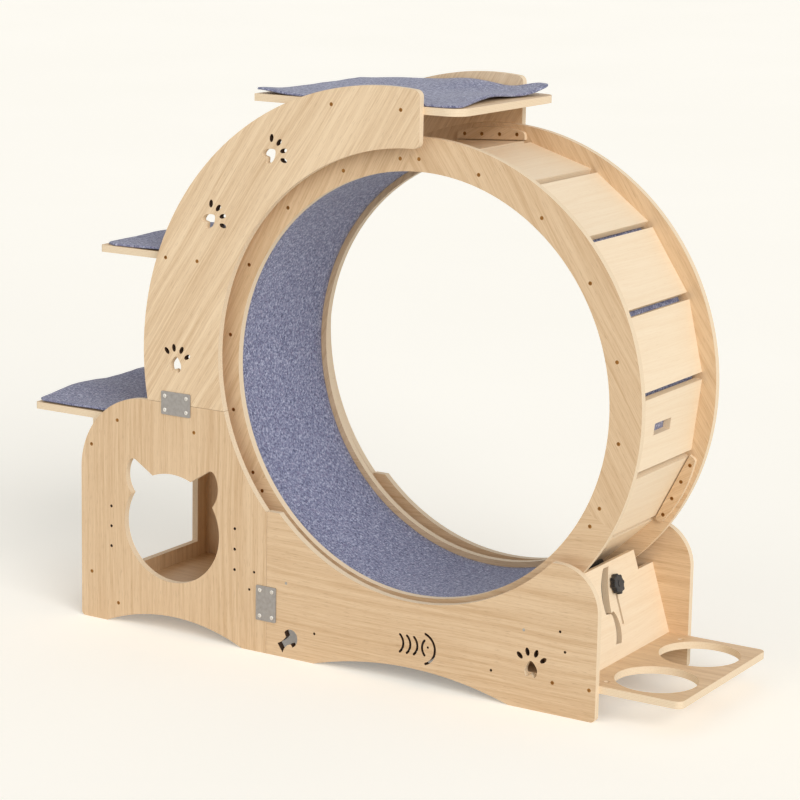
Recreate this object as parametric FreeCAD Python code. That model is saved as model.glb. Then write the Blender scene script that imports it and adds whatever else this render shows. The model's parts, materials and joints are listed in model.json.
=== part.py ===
import FreeCAD, Part
import math
import os

# Cat exercise wheel: a felt-lined plywood running wheel, 1 m across, that turns on four rollers
# between two flat plywood sides. The sides also carry a small cat house, three steps, a board
# with two bowl holes and a sliding lock that stops the wheel.
#
# Millimetres. While the pieces are being made, x is measured from the wheel axis, y from the
# front faces of the front panels towards the rear and z from the floor.

V = FreeCAD.Vector
Y_AXIS = V(0, 1, 0)

# ---- Sheet stock, depth and fits ----
PLY = 15.0
DEPTH = 426.0
INNER_FRONT = PLY
INNER_REAR = DEPTH - PLY
FELT = 5.0
SCREW_FIT = 0.05
MOVING_GAP = 0.3

# ---- Wheel ----
RING_OUTER_R = 500.0
RING_WIDTH = 69.0
RING_INNER_R = RING_OUTER_R - RING_WIDTH
WHEEL_OVER_FLOOR = 102.0
WHEEL_Z = WHEEL_OVER_FLOOR + RING_OUTER_R
RING_FRONT_Y = 40.0
RING_REAR_Y = DEPTH - RING_FRONT_Y - PLY
SLAT_FRONT_Y = RING_FRONT_Y + PLY
SLAT_LENGTH = RING_REAR_Y - SLAT_FRONT_Y
SLAT_COUNT = 18
SLAT_PITCH = 360.0 / SLAT_COUNT
RIM_OVER_SLATS = 37.0
SLAT_OUTER_R = RING_OUTER_R - RIM_OVER_SLATS
SLAT_INNER_R = SLAT_OUTER_R - PLY
SLAT_GAP = 10.0
SLAT_WIDTH = 2 * SLAT_INNER_R * math.tan(math.pi / SLAT_COUNT) - SLAT_GAP
FIRST_SLAT_ANGLE = 93.2
LINER_OUTER_R = SLAT_INNER_R - MOVING_GAP
LINER_END_GAP = 0.5
JOINT_EVERY = SLAT_COUNT // 3
RING_SCREW_R = (SLAT_INNER_R + SLAT_OUTER_R) / 2
RING_SCREW_LENGTH = 40.0
JOINT_SCREW_OFFSET = 21.5
SPLICE_HALF = 80.0
SPLICE_GAP = 2.5
SPLICE_INNER_R = SLAT_OUTER_R + SPLICE_GAP
SPLICE_END_WIDTH = 15.0
SPLICE_MIDDLE_WIDTH = 26.0
SPLICE_THICKNESS = 9.0
SPLICE_CORNER_R = 8.0
SPLICE_SCREW_INSET = 11.0
SPLICE_SCREW_R = SPLICE_INNER_R + SPLICE_SCREW_INSET
SPLICE_SCREW_OFFSETS = (-62.0, -21.0, 21.0, 62.0)
SPLICE_SCREW_LENGTH = 20.0

# ---- Lock slot through some slats ----
LOCK_SLATS = ("slat_06", "slat_08", "slat_17")
LOCK_SLOT_WIDTH = 72.0
LOCK_SLOT_LOW = -7.0
LOCK_SLOT_HIGH = 17.0

# ---- Rollers that carry the two rings ----
TREAD_R = 23.4
FLANGE_HEIGHT = 5.0
FLANGE_R = TREAD_R + FLANGE_HEIGHT
ROLLER_ANGLE = math.radians(32.34)
ROLLER_CENTRE_R = RING_OUTER_R + MOVING_GAP + TREAD_R
ROLLER_X = ROLLER_CENTRE_R * math.sin(ROLLER_ANGLE)
ROLLER_Z = WHEEL_Z - ROLLER_CENTRE_R * math.cos(ROLLER_ANGLE)
ROLLER_WIDTH = 25.0
FLANGE_GAP = 0.8
AXLE_R = 3.0
AXLE_FIT = 0.05
AXLE_HEAD_R = 7.0
AXLE_HEAD_HEIGHT = 4.0
SPACER_R = 6.5

# ---- Side panels, seen from the front. Their circles are off the wheel's centre by (x, z) ----
BASE_CUT_OFFSET = (20.0, 15.2)
BASE_CUT_OVER_RING = 15.0
ARC_CUT_OFFSET = (9.6, 16.0)
ARC_CUT_OVER_RING = 33.5
ARC_OFFSET = (-56.8, 9.1)
ARC_OVER_RING = 89.7


def panel_circle(offset, radius):
    """Circle (centre x, centre z, radius) whose centre is off the wheel's by the offset."""
    return offset[0], WHEEL_Z + offset[1], radius


WHEEL_CUT_BASE = panel_circle(BASE_CUT_OFFSET, RING_INNER_R + BASE_CUT_OVER_RING)
WHEEL_CUT_ARC = panel_circle(ARC_CUT_OFFSET, RING_INNER_R + ARC_CUT_OVER_RING)
ARC_OUTER = panel_circle(ARC_OFFSET, RING_OUTER_R + ARC_OVER_RING)
SEAM_BELOW_AXIS = 101.0
SEAM_Z = WHEEL_Z - SEAM_BELOW_AXIS
SEAM_INSIDE_RIM = 171.0
SEAM_X = SEAM_INSIDE_RIM - RING_OUTER_R
SEAM_GAP = 0.8
HOUSE_OUTSIDE_RIM = 314.0
HOUSE_LEFT = -RING_OUTER_R - HOUSE_OUTSIDE_RIM
HOUSE_CORNER_R = 170.0
HOUSE_ARCH = (-745.0, -390.0, 37.0)
BASE_BELOW_AXIS = 297.0
BASE_TOP = WHEEL_Z - BASE_BELOW_AXIS
BASE_INSIDE_RIM = 59.0
BASE_RIGHT = RING_OUTER_R - BASE_INSIDE_RIM
BASE_CORNER_R = 90.0
BASE_ARCH = (-210.5, 250.0, 34.0)
FOOT_CORNER_R = 10.0
ARC_END_X = 20.0
ARC_CORNER_R = 14.0

# ---- Boards between the sides: left x, right x, bottom z ----
LOWER_STEP_BELOW_SEAM = 62.5
MIDDLE_STEP_OVER_AXIS = 200.0
LOWER_STEP = (-952.0, -490.0, SEAM_Z - LOWER_STEP_BELOW_SEAM)
MIDDLE_STEP = (-772.0, -475.0, WHEEL_Z + MIDDLE_STEP_OVER_AXIS)
PLATFORM_OVER_RING = 47.0
TOP_PLATFORM = (-379.0, 103.0, WHEEL_Z + RING_OUTER_R + PLATFORM_OVER_RING)
HOUSE_FLOOR = (-779.0, -387.5, 35.5)
CROSS_RAIL = (-228.0, -190.0, 56.5)
BOWL_BOARD = (190.0, 616.0, 56.5)
STEP_CORNER_R = 6.0
PLATFORM_CORNER_R = 38.0
BOWL_CORNER_R = 15.0
BOWL_HOLE_X = 515.0
BOWL_HOLE_MARGIN = 17.5
BOWL_HOLE_BETWEEN = 31.0
BOWL_HOLE_R = (INNER_REAR - INNER_FRONT - 2 * BOWL_HOLE_MARGIN - BOWL_HOLE_BETWEEN) / 4
BOWL_HOLE_OFFSET = BOWL_HOLE_BETWEEN / 2 + BOWL_HOLE_R
SMALL_HOLE_R = 6.0
SMALL_HOLE_X = 441.0
SMALL_HOLE_MARGIN = 33.0
FELT_INSET = 4.0
WINDOW_MARGIN = 33.0
WINDOW_BOTTOM = 85.0
WINDOW_TOP = 370.0
WINDOW_CORNER_R = 3.0

# ---- The two sloping boards; the right one is the lock board ----
SLOPE_INSIDE_BASE = 50.6
SLOPE_FOOT_X = BASE_RIGHT - SLOPE_INSIDE_BASE
SLOPE_FOOT_Z = BOWL_BOARD[2] + PLY
SLOPE_TILT = 16.97
SLOPE_SIDE_S = 147.0
SLOPE_MIDDLE_S = 188.0
SLOPE_MIDDLE_INSET = 66.0

# ---- Lock: steel tab and washer behind the lock board, bolt through its slot, knob in front ----
WASHER_R = 12.0
WASHER_THICKNESS = 3.2
TAB_FRONT = PLY + MOVING_GAP + WASHER_THICKNESS
TAB_WIDTH = 66.0
TAB_THICKNESS = 4.0
TAB_BACK = TAB_FRONT + TAB_THICKNESS
TAB_LENGTH = 104.0
TAB_CORNER_R = 6.0
TAB_CLEARANCE = 3.5
LOCK_BOLT_OFFSET = 21.0
LOCK_BOLT_Y = DEPTH / 2 + LOCK_BOLT_OFFSET
LOCK_BOLT_S = 141.0
LOCK_BOLT_R = 3.0
LOCK_UP = 17.0
LOCK_DOWN = 79.0
LOCK_SLOT_HALF = 3.5
TAIL_LEFT = ((-54.0, 145.0), (-59.0, 93.0), (-39.0, 89.0), (-35.0, 84.0))
TAIL_LOW = ((-34.0, 58.0), (-47.0, 29.0), (-25.0, 26.0), (-14.0, 60.0), (-27.0, 92.0))
TAIL_HIGH = ((-37.0, 91.0), (-28.0, 135.0), (-5.0, 180.0), (-28.0, 180.0))
BOLT_HEAD_R = 7.0
BOLT_HEAD_HEIGHT = 3.5
BOLT_REACH = 10.0
KNOB_R = 18.0
KNOB_LOBES = 8
KNOB_LOBE_R = 4.5
KNOB_LOBE_AT = 16.5
KNOB_HUB_R = 10.0
KNOB_HUB_HEIGHT = 3.0
KNOB_HEIGHT = 13.0
KNOB_BOSS_R = 6.5
KNOB_BOSS_HEIGHT = 1.2
KNOB_EDGE_R = 1.8

# ---- Fasteners ----
HEAD_R = 4.0
HEAD_DEPTH = 2.2
SHANK_R = 2.0
DRIVE_REACH = 2.2
DRIVE_WIDTH = 0.9
DRIVE_DEPTH = 1.3
PANEL_SCREW_LENGTH = 40.0
LOWER_STEP_SCREWS_X = (-717.0, -516.0)
MIDDLE_STEP_SCREWS_X = (-590.0, -509.5)
PLATFORM_SCREWS_X = (-184.5, -23.3)
HOUSE_FLOOR_SCREWS_X = (-714.6,)
BOWL_BOARD_SCREWS_X = (346.4, 426.7)
HOUSE_END_SCREWS_Z = (102.2, 384.6)
BRACE_HEAD_R = 2.8
BRACE_SCREW_INSET = 19.0
SLOPE_SCREWS_S = (62.0, 103.0)
PLATE_SIZE = (75.0, 50.0)
PLATE_THICKNESS = 2.0
PLATE_SCREW_PITCH = (55.0, 30.0)
PLATE_CORNER_R = 3.0
UPPER_PLATE_X = -562.0
LOWER_PLATE_Z = 107.5
PLATE_HEAD_R = 4.3
PLATE_HEAD_TOP_R = 3.3
PLATE_HEAD_HEIGHT = 1.8
PLATE_HEAD_EDGE = 1.1
PLATE_SCREW_LENGTH = 13.0

# ---- Ornamental openings ----
CAT_HEAD = (-574.0, 230.0)
CAT_HEAD_HALF_WIDTH = 124.0
CAT_HEAD_HALF_HEIGHT = 118.0
CAT_EAR = ((42.0, 88.0), (49.0, 108.0), (104.0, 143.0), (120.0, 107.0), (105.0, 61.0))
CAT_EAR_R = 13.0
PEG_HOLE_R = 3.2
PEG_HOLE_X = (-733.0, -410.0)
PEG_HOLE_Z = (167.5, 211.5, 255.5)
PAW_OVER_RING = (51.7, 62.7, 63.7)
PAW_AT_ANGLE = (126.76, 148.27, 181.63)
PAW_TILT = (34.6, 34.6, 80.8)
BASE_PAW = (298.0, 83.0, 87.5)
PAW_PAD = ((0.0, 16.5), (9.5, 8.5), (14.0, -8.5), (8.5, -16.5), (0.0, -11.0))
TOE_DISTANCE = 35.0
TOE_SPACING = 32.5
TOE_SIZE = (8.3, 4.6)
RIB_X = (1.5, 18.0, 34.5)
RIB_Z = (64.0, 100.0)
RIB_BULGE = 4.0
GILL = ((55.0, 97.0), (49.5, 82.0), (55.5, 66.5))
FISH_FACE = ((57.0, 111.0), (79.5, 81.0), (58.0, 49.0))
FISH_EYE = (63.0, 84.0)
FISH_TAIL_TOP = ((-283.0, 54.0), (-265.0, 62.0), (-251.0, 46.0))
FISH_TAIL_TIP = ((-253.0, 34.0), (-263.0, 24.5), (-267.0, 31.0))
FISH_TAIL_FOOT = ((-281.0, 22.0), (-287.0, 9.5), (-300.0, 28.0), (-287.0, 36.0), (-279.0, 45.0))
STROKE = 5.0


# ---------------------------------------------------------------- drawing helpers

def at(x, z, y=0.0):
    """Point given as seen from the front."""
    return V(x, y, z)


def outline(*steps):
    """Closed face in the x-z plane. A step is a corner, or a pair (via, to) for an arc."""
    edges = []
    here = at(*steps[0])
    for step in steps[1:] + (steps[0],):
        if isinstance(step[0], tuple):
            to = at(*step[1])
            edges.append(Part.Arc(here, at(*step[0]), to).toShape())
        else:
            to = at(*step)
            if to.distanceToPoint(here) < 1e-6:
                continue
            edges.append(Part.makeLine(here, to))
        here = to
    return Part.Face(Part.Wire(edges))


def along(circle, start, end):
    """Arc step that follows a circle (centre x, centre z, radius) the short way to `end`."""
    x, z, radius = circle
    middle = V((start[0] + end[0]) / 2 - x, 0, (start[1] + end[1]) / 2 - z)
    middle.normalize()
    return (x + radius * middle.x, z + radius * middle.z), end


def circle_x(circle, z, side):
    """x of a circle at height z; side is -1 for its left half and 1 for its right half."""
    return circle[0] + side * math.sqrt(circle[2] ** 2 - (z - circle[1]) ** 2)


def circle_z(circle, x, side):
    """z of a circle at x; side is -1 for its lower half and 1 for its upper half."""
    return circle[1] + side * math.sqrt(circle[2] ** 2 - (x - circle[0]) ** 2)


def thick(face, thickness, y=0.0):
    """Sheet of the given thickness whose front face lies at y."""
    sheet = face.extrude(V(0, thickness, 0))
    sheet.translate(V(0, y, 0))
    return sheet


def rounded(sheet, corners, radius):
    """Sheet with its through-thickness edges at the given (x, z) corners rounded."""
    for x, z in corners:
        edges = [e for e in sheet.Edges if runs_through(e, x, z)]
        sheet = sheet.makeFillet(radius, edges)
    return sheet


def runs_through(edge, x, z):
    """True for an edge parallel to y that passes through (x, z)."""
    return all(math.hypot(v.X - x, v.Z - z) < 0.01 for v in edge.Vertexes)


def cut(shape, tools):
    """Shape with the tools that reach it taken away, as a single solid."""
    reaching = [t for t in tools if t.BoundBox.intersect(shape.BoundBox)]
    if not reaching:
        return shape
    return shape.cut(reaching).Solids[0]


def turned(profile, base, direction):
    """Solid turned from (radius, distance) points about the line through base."""
    points = [V(radius, 0, distance) for radius, distance in profile]
    solid = Part.Face(Part.makePolygon(points + points[:1])).revolve(V(), V(0, 0, 1), 360)
    solid.Placement = FreeCAD.Placement(base, FreeCAD.Rotation(V(0, 0, 1), direction))
    return solid


def tube(outer_r, inner_r, length, y, x=0.0, z=0.0):
    """Plain ring about a front-to-back axis."""
    profile = [(inner_r, 0), (outer_r, 0), (outer_r, length), (inner_r, length)]
    return turned(profile, at(x, z, y), Y_AXIS)


def about_wheel(shape, angle):
    """Copy of a shape made on the wheel's 3 o'clock side, turned to the given angle."""
    turned_shape = shape.copy()
    turned_shape.rotate(at(0, WHEEL_Z), V(0, -1, 0), angle)
    return turned_shape


def mirrored_in_depth(shape):
    """Copy of a front piece for the rear side."""
    return shape.mirror(V(0, DEPTH / 2, 0), Y_AXIS)


def both_sides(shapes):
    """The given front pieces followed by their rear mirror images."""
    return list(shapes) + [mirrored_in_depth(s) for s in shapes]


# ---------------------------------------------------------------- fasteners

def wood_screw(head, direction, length, head_r=HEAD_R, grow=0.0):
    """Countersunk screw, flush at `head`. With `grow` it is the hole for that screw."""
    profile = [
        (0, 0),
        (head_r + grow, 0),
        (SHANK_R + grow, HEAD_DEPTH),
        (SHANK_R + grow, length + grow),
        (0, length + grow),
    ]
    screw = turned(profile, head, direction)
    return screw if grow else screw.cut(cross_drive(head, direction))


def cross_drive(head, direction):
    """Cross-shaped recess in a screw head whose top lies at `head`."""
    bars = [
        Part.makeBox(2 * a, DRIVE_DEPTH, 2 * b, V(head.x - a, head.y, head.z - b))
        for a, b in ((DRIVE_REACH, DRIVE_WIDTH / 2), (DRIVE_WIDTH / 2, DRIVE_REACH))
    ]
    cross = bars[0].fuse(bars[1])
    return cross if direction.y > 0 else cross.mirror(head, Y_AXIS)


def panel_screws(grow=0.0):
    """Brass screws through both sides into the ends of the boards."""
    level_screws = (
        (LOWER_STEP, LOWER_STEP_SCREWS_X),
        (MIDDLE_STEP, MIDDLE_STEP_SCREWS_X),
        (TOP_PLATFORM, PLATFORM_SCREWS_X),
        (HOUSE_FLOOR, HOUSE_FLOOR_SCREWS_X),
        (BOWL_BOARD, BOWL_BOARD_SCREWS_X),
    )
    spots = [(x, step_middle(board)) for board, places in level_screws for x in places]
    spots += [(HOUSE_FLOOR[0] - PLY / 2, z) for z in HOUSE_END_SCREWS_Z]
    front = [wood_screw(at(x, z), Y_AXIS, PANEL_SCREW_LENGTH, grow=grow) for x, z in spots]
    return both_sides(front)


def brace_screws(grow=0.0):
    """Small dark screws into the sloping boards, the rail and the inner end of the bowl board."""
    spots = [(BOWL_BOARD[0] + BRACE_SCREW_INSET, step_middle(BOWL_BOARD))]
    spots.append((CROSS_RAIL[0] + BRACE_SCREW_INSET, step_middle(CROSS_RAIL)))
    for s in SLOPE_SCREWS_S:
        x = SLOPE_FOOT_X - s * math.sin(math.radians(SLOPE_TILT))
        z = SLOPE_FOOT_Z + s * math.cos(math.radians(SLOPE_TILT))
        spots += [(-x, z), (x, z)]
    front = [wood_screw(at(x, z), Y_AXIS, PANEL_SCREW_LENGTH, BRACE_HEAD_R, grow) for x, z in spots]
    return both_sides(front)


def step_middle(board):
    """Height of the middle of a level board."""
    return board[2] + PLY / 2


def plate_centres():
    """Middle and size along x and z of the two joining plates on a side."""
    long, short = PLATE_SIZE
    return ((UPPER_PLATE_X, SEAM_Z, long, short), (SEAM_X, LOWER_PLATE_Z, short, long))


def joining_plates():
    """Flat metal plates, each with four screw holes, that bridge the seams of the sides."""
    plates = []
    for x, z, width, height in plate_centres():
        corners = [(x - width / 2, z - height / 2), (x + width / 2, z - height / 2)]
        corners += [(x + width / 2, z + height / 2), (x - width / 2, z + height / 2)]
        plate = thick(outline(*corners), PLATE_THICKNESS, -PLATE_THICKNESS)
        plate = rounded(plate, corners, PLATE_CORNER_R)
        plates.append(cut(plate, plate_screws_front(SCREW_FIT)))
    return both_sides(plates)


def plate_screws_front(grow=0.0):
    """Pan-headed screws of the two front plates."""
    profile = [
        (0, -PLATE_HEAD_HEIGHT),
        (PLATE_HEAD_TOP_R, -PLATE_HEAD_HEIGHT),
        (PLATE_HEAD_R, -PLATE_HEAD_EDGE),
        (PLATE_HEAD_R, 0),
        (SHANK_R + grow, 0),
        (SHANK_R + grow, PLATE_SCREW_LENGTH + grow),
        (0, PLATE_SCREW_LENGTH + grow),
    ]
    screws = []
    for x, z, width, height in plate_centres():
        pitch_x, pitch_z = PLATE_SCREW_PITCH if width > height else PLATE_SCREW_PITCH[::-1]
        for dx in (-pitch_x / 2, pitch_x / 2):
            for dz in (-pitch_z / 2, pitch_z / 2):
                head = at(x + dx, z + dz, -PLATE_THICKNESS)
                screw = turned(profile, head, Y_AXIS)
                top = head - Y_AXIS * PLATE_HEAD_HEIGHT
                screws.append(screw if grow else screw.cut(cross_drive(top, Y_AXIS)))
    return screws


# ---------------------------------------------------------------- openings in the sides

def stroke(start, via, end, width=STROKE):
    """Curved slot of even width along an arc through three points, with round ends."""
    arc = Part.ArcOfCircle(at(*start), at(*via), at(*end))
    centre = arc.Center
    inner_r = arc.Radius - width / 2
    outer_r = arc.Radius + width / 2
    ends = []
    for point in (start, via, end):
        ray = at(*point) - centre
        ray.normalize()
        inner = centre + ray * inner_r
        outer = centre + ray * outer_r
        ends.append(((inner.x, inner.z), (outer.x, outer.z)))
    (in_a, out_a), (in_v, out_v), (in_b, out_b) = ends
    band = thick(outline(in_a, (in_v, in_b), out_b, (out_v, out_a)), PLY)
    caps = [Part.makeCylinder(width / 2, PLY, at(*p), Y_AXIS) for p in (start, end)]
    return band.fuse(caps).removeSplitter()


def toe():
    """Cutter for one toe, lying along x at its distance from the pad."""
    ellipse = Part.Ellipse(V(), *TOE_SIZE).toShape()
    ellipse.rotate(V(), V(1, 0, 0), 90)
    ellipse.translate(at(TOE_DISTANCE, 0))
    return thick(Part.Face(Part.Wire(ellipse)), PLY)


def paw(x, z, angle):
    """Cutters for a paw print pointing at the given angle: a notched pad and four toes."""
    right_half = [at(px, pz) for px, pz in PAW_PAD]
    left_half = [at(-px, pz) for px, pz in PAW_PAD[-2:0:-1]]
    curve = Part.BSplineCurve()
    curve.interpolate(right_half + left_half, PeriodicFlag=True)
    pad = thick(Part.Face(Part.Wire(curve.toShape())), PLY)
    pad.rotate(V(), V(0, -1, 0), angle - 90)
    cutters = [pad]
    for place in (-1.5, -0.5, 0.5, 1.5):
        cutter = toe()
        cutter.rotate(V(), V(0, -1, 0), angle + TOE_SPACING * place)
        cutters.append(cutter)
    for cutter in cutters:
        cutter.translate(at(x, z))
    return cutters


def cat_head():
    """Cutters for the cat-head doorway: a wide oval face and two ears with rounded tips."""
    x, z = CAT_HEAD
    wide, high = V(x + CAT_HEAD_HALF_WIDTH, 0, z), V(x, 0, z + CAT_HEAD_HALF_HEIGHT)
    face = Part.Ellipse(wide, high, at(x, z))
    cutters = [thick(Part.Face(Part.Wire(face.toShape())), PLY)]
    for side in (-1, 1):
        inside, inner, tip, bulge, outer = [(x + side * ex, z + ez) for ex, ez in CAT_EAR]
        ear = thick(outline(inside, inner, tip, (bulge, outer)), PLY)
        cutters.append(rounded(ear, [tip], CAT_EAR_R))
    return cutters


def peg_holes():
    """Cutters for the two rows of small holes beside the doorway."""
    return [
        Part.makeCylinder(PEG_HOLE_R, PLY, at(x, z), Y_AXIS)
        for x in PEG_HOLE_X
        for z in PEG_HOLE_Z
    ]


def fishbone():
    """Cutters for the fish: tail, three ribs, gill, eye and the curve of the head."""
    tip_via, tip, notch = FISH_TAIL_TIP
    foot_via, foot, heel, back_via, back = FISH_TAIL_FOOT
    start, top_via, top = FISH_TAIL_TOP
    upper = (start, (top_via, top), (tip_via, tip), notch)
    lower = ((foot_via, foot), heel, (back_via, back))
    cutters = [thick(outline(*upper, *lower), PLY)]
    low, high = RIB_Z
    for x in RIB_X:
        ends = x - RIB_BULGE
        cutters.append(stroke((ends, high), (x + RIB_BULGE, (low + high) / 2), (ends, low)))
    cutters += [stroke(*GILL), stroke(*FISH_FACE)]
    cutters.append(Part.makeCylinder(STROKE / 2, PLY, at(*FISH_EYE), Y_AXIS))
    return cutters


# ---------------------------------------------------------------- side panels

def house_panel():
    """Lower left side: cat house wall with the doorway, an arched foot and a wheel cut-out."""
    left, right, rise = HOUSE_ARCH
    top = SEAM_Z - SEAM_GAP / 2
    side = SEAM_X - SEAM_GAP / 2
    seam_top = (circle_x(WHEEL_CUT_ARC, top, -1), top)
    seam_side = (side, circle_z(WHEEL_CUT_ARC, side, -1))
    face = outline(
        (HOUSE_LEFT, 0),
        (HOUSE_LEFT, top),
        seam_top,
        along(WHEEL_CUT_ARC, seam_top, seam_side),
        (side, 0),
        (right, 0),
        (((left + right) / 2, rise), (left, 0)),
    )
    panel = rounded(thick(face, PLY), [(HOUSE_LEFT, top)], HOUSE_CORNER_R)
    panel = rounded(panel, [(HOUSE_LEFT, 0)], FOOT_CORNER_R)
    return cut(panel, cat_head() + peg_holes())


def base_panel():
    """Lower right side: low wall under the wheel with the fishbone and a paw cut through."""
    left, right, rise = BASE_ARCH
    side = SEAM_X + SEAM_GAP / 2
    cut_left = (circle_x(WHEEL_CUT_BASE, BASE_TOP, -1), BASE_TOP)
    cut_right = (circle_x(WHEEL_CUT_BASE, BASE_TOP, 1), BASE_TOP)
    face = outline(
        (side, 0),
        (side, BASE_TOP),
        cut_left,
        ((WHEEL_CUT_BASE[0], WHEEL_CUT_BASE[1] - WHEEL_CUT_BASE[2]), cut_right),
        (BASE_RIGHT, BASE_TOP),
        (BASE_RIGHT, 0),
        (right, 0),
        (((left + right) / 2, rise), (left, 0)),
    )
    panel = rounded(thick(face, PLY), [(BASE_RIGHT, BASE_TOP)], BASE_CORNER_R)
    panel = rounded(panel, [(BASE_RIGHT, 0)], FOOT_CORNER_R)
    return cut(panel, fishbone() + paw(*BASE_PAW))


def arc_panel():
    """Upper left side: the arc that rises from the house and ends above the wheel."""
    foot = SEAM_Z + SEAM_GAP / 2
    outer_foot = (circle_x(ARC_OUTER, foot, -1), foot)
    inner_foot = (circle_x(WHEEL_CUT_ARC, foot, -1), foot)
    outer_end = (ARC_END_X, circle_z(ARC_OUTER, ARC_END_X, 1))
    inner_end = (ARC_END_X, circle_z(WHEEL_CUT_ARC, ARC_END_X, 1))
    face = outline(
        outer_foot,
        along(ARC_OUTER, outer_foot, outer_end),
        inner_end,
        along(WHEEL_CUT_ARC, inner_end, inner_foot),
    )
    panel = rounded(thick(face, PLY), [outer_end, inner_end], ARC_CORNER_R)
    paws = []
    for over_ring, angle, tilt in zip(PAW_OVER_RING, PAW_AT_ANGLE, PAW_TILT):
        paws += paw(*wheel_point(RING_OUTER_R + over_ring, angle), tilt)
    return cut(panel, paws)


def side_panels():
    """The six panels of the two sides, drilled for every screw that enters them."""
    drills = panel_screws(SCREW_FIT) + brace_screws(SCREW_FIT)
    drills += both_sides(plate_screws_front(SCREW_FIT))
    drills += both_sides([axle(x, AXLE_FIT) for x in (-ROLLER_X, ROLLER_X)])
    panels = {}
    for name, panel in (("house", house_panel()), ("base", base_panel()), ("arc", arc_panel())):
        panels["front_" + name + "_panel"] = cut(panel, drills)
        panels["rear_" + name + "_panel"] = cut(mirrored_in_depth(panel), drills)
    return panels


# ---------------------------------------------------------------- boards between the sides

def plank(board, thickness=PLY, lift=0.0, inset=0.0):
    """Level sheet between the sides; board is (left x, right x, bottom z)."""
    left, right, bottom = board
    length = right - left - 2 * inset
    depth = INNER_REAR - INNER_FRONT - 2 * inset
    corner = at(left + inset, bottom + lift, INNER_FRONT + inset)
    return Part.makeBox(length, depth, thickness, corner)


def rounded_in_plan(board, corners, radius):
    """Level board with its upright edges at the given (x, y) corners rounded."""
    for x, y in corners:
        edges = [
            e
            for e in board.Edges
            if all(math.hypot(v.X - x, v.Y - y) < 0.01 for v in e.Vertexes)
        ]
        board = board.makeFillet(radius, edges)
    return board


def plank_corners(x, inset=0.0):
    """Front and rear corner of a plank at x."""
    return [(x, INNER_FRONT + inset), (x, INNER_REAR - inset)]


def step_felt(board, end_x, radius):
    """Felt on a step, a little smaller than the step, its corners at end_x rounded."""
    felt = plank(board, FELT, PLY, FELT_INSET)
    return rounded_in_plan(felt, plank_corners(end_x, FELT_INSET), radius)


def bowl_board():
    """Board across the foot of the lock end: two large holes for bowls and two small ones."""
    board = plank(BOWL_BOARD)
    board = rounded_in_plan(board, plank_corners(BOWL_BOARD[1]), BOWL_CORNER_R)
    holes = [
        Part.makeCylinder(BOWL_HOLE_R, PLY, at(BOWL_HOLE_X, BOWL_BOARD[2], DEPTH / 2 + dy))
        for dy in (-BOWL_HOLE_OFFSET, BOWL_HOLE_OFFSET)
    ]
    for y in (INNER_FRONT + SMALL_HOLE_MARGIN, INNER_REAR - SMALL_HOLE_MARGIN):
        place = at(SMALL_HOLE_X, BOWL_BOARD[2], y)
        holes.append(Part.makeCylinder(SMALL_HOLE_R, PLY, place))
    return cut(board, holes)


def house_end_board():
    """Upright end of the cat house with a window, from the floor to the lower step."""
    bottom = HOUSE_FLOOR[2]
    x = HOUSE_FLOOR[0] - PLY
    height = LOWER_STEP[2] - bottom
    board = Part.makeBox(PLY, INNER_REAR - INNER_FRONT, height, at(x, bottom, INNER_FRONT))
    width = INNER_REAR - INNER_FRONT - 2 * WINDOW_MARGIN
    corner = at(x, WINDOW_BOTTOM, INNER_FRONT + WINDOW_MARGIN)
    window = Part.makeBox(PLY, width, WINDOW_TOP - WINDOW_BOTTOM, corner)
    window = window.makeFillet(WINDOW_CORNER_R, [e for e in window.Edges if is_along_x(e)])
    return cut(board, [window])


def is_along_x(edge):
    """True for a straight edge parallel to x."""
    first, last = edge.Vertexes
    return abs(abs(first.X - last.X) - edge.Length) < 0.01


def level_boards():
    """Steps, floor, rail, bowl board and house end, drilled for their screws."""
    lower_step = rounded_in_plan(plank(LOWER_STEP), plank_corners(LOWER_STEP[0]), STEP_CORNER_R)
    middle_step = plank(MIDDLE_STEP)
    middle_step = rounded_in_plan(middle_step, plank_corners(MIDDLE_STEP[0]), STEP_CORNER_R)
    platform = plank(TOP_PLATFORM)
    platform = rounded_in_plan(platform, plank_corners(TOP_PLATFORM[1]), PLATFORM_CORNER_R)
    boards = {
        "lower_step": lower_step,
        "middle_step": middle_step,
        "top_platform": platform,
        "house_floor": plank(HOUSE_FLOOR),
        "house_end_board": house_end_board(),
        "left_cross_rail": plank(CROSS_RAIL),
        "bowl_board": bowl_board(),
    }
    drills = panel_screws(SCREW_FIT) + brace_screws(SCREW_FIT)
    return {name: cut(board, drills) for name, board in boards.items()}


def step_felts():
    """Felt sheets lying on the two steps and the top platform."""
    corner_r = PLATFORM_CORNER_R - FELT_INSET
    return {
        "lower_step_felt": step_felt(LOWER_STEP, LOWER_STEP[0] + FELT_INSET, STEP_CORNER_R),
        "middle_step_felt": step_felt(MIDDLE_STEP, MIDDLE_STEP[0] + FELT_INSET, STEP_CORNER_R),
        "top_platform_felt": step_felt(TOP_PLATFORM, TOP_PLATFORM[1] - FELT_INSET, corner_r),
    }


# ---------------------------------------------------------------- sloping boards

def on_slope(shape):
    """Place a shape drawn flat: x across the sides, z up the slope, y = 0 on the outer face."""
    tilt = math.radians(SLOPE_TILT)
    outward = V(math.cos(tilt), 0, math.sin(tilt))
    up_slope = V(-math.sin(tilt), 0, math.cos(tilt))
    foot = at(SLOPE_FOOT_X, SLOPE_FOOT_Z) + outward * (PLY / 2)
    matrix = FreeCAD.Matrix(
        0, -outward.x, up_slope.x, foot.x,
        1, -outward.y, up_slope.y, foot.y,
        0, -outward.z, up_slope.z, foot.z,
        0, 0, 0, 1,
    )
    placed = shape.copy()
    placed.Placement = FreeCAD.Placement(matrix).multiply(shape.Placement)
    return placed


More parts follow.
